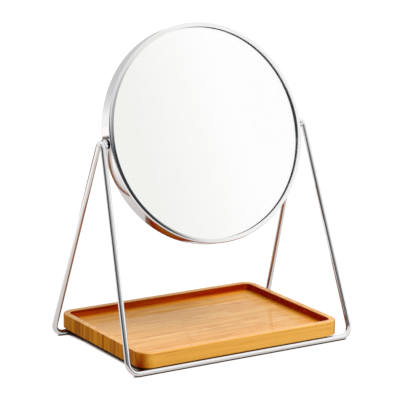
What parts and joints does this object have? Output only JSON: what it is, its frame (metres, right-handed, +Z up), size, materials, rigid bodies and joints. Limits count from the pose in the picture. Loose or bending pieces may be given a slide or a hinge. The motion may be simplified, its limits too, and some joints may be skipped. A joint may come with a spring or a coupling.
{
  "type": "table-top tilting mirror with tray",
  "caption": "Round two-sided tilting mirror on a chromed bent-wire stand, with a shallow bamboo tray resting on the wire's front and back bars.",
  "frame": {"origin": "on the table, under the middle of the object's box", "axes": "+Z up, +X to the object's right as the user faces the mirror's front from -Y, -Y towards the user"},
  "size_m": [0.2374, 0.1544, 0.287],
  "materials": {
    "chrome_wire": "bright chrome plate on steel wire",
    "chrome_rim": "bright chrome plate on drawn sheet steel",
    "black_nylon": "moulded black nylon",
    "spring_steel": "plain spring steel",
    "zinc_screw": "zinc plate",
    "mirror_glass": "silvered float glass",
    "foam": "thin adhesive foam",
    "board": "moulded white plastic",
    "bamboo": "laminated bamboo, satin lacquer"
  },
  "bodies": {
    "stand": {"wire_frame": "chrome_wire", "pivot_boss_left": "chrome_wire", "friction_washer_left": "black_nylon", "inner_washer_left": "black_nylon", "spring_washer_left": "spring_steel", "pivot_screw_left": "zinc_screw", "pivot_boss_right": "chrome_wire", "friction_washer_right": "black_nylon", "inner_washer_right": "black_nylon", "spring_washer_right": "spring_steel", "pivot_screw_right": "zinc_screw"},
    "mirror_head": {"front_rim": "chrome_rim", "plain_glass": "mirror_glass", "front_foam": "foam", "core_board": "board", "rear_foam": "foam", "magnifying_glass": "mirror_glass", "rear_rim": "chrome_rim"},
    "tray_body": {"tray": "bamboo"}
  },
  "joints": [
    {"name": "mirror_tilt", "type": "hinge", "parent": "stand", "child": "mirror_head", "pos_m": [0, -0.00475, 0.1902], "axis": [1, 0, 0], "continuous": true},
    {"name": "tray_slide", "type": "slide", "parent": "stand", "child": "tray_body", "axis": [0, -1, 0], "range_m": [0, 0.16]}
  ]
}
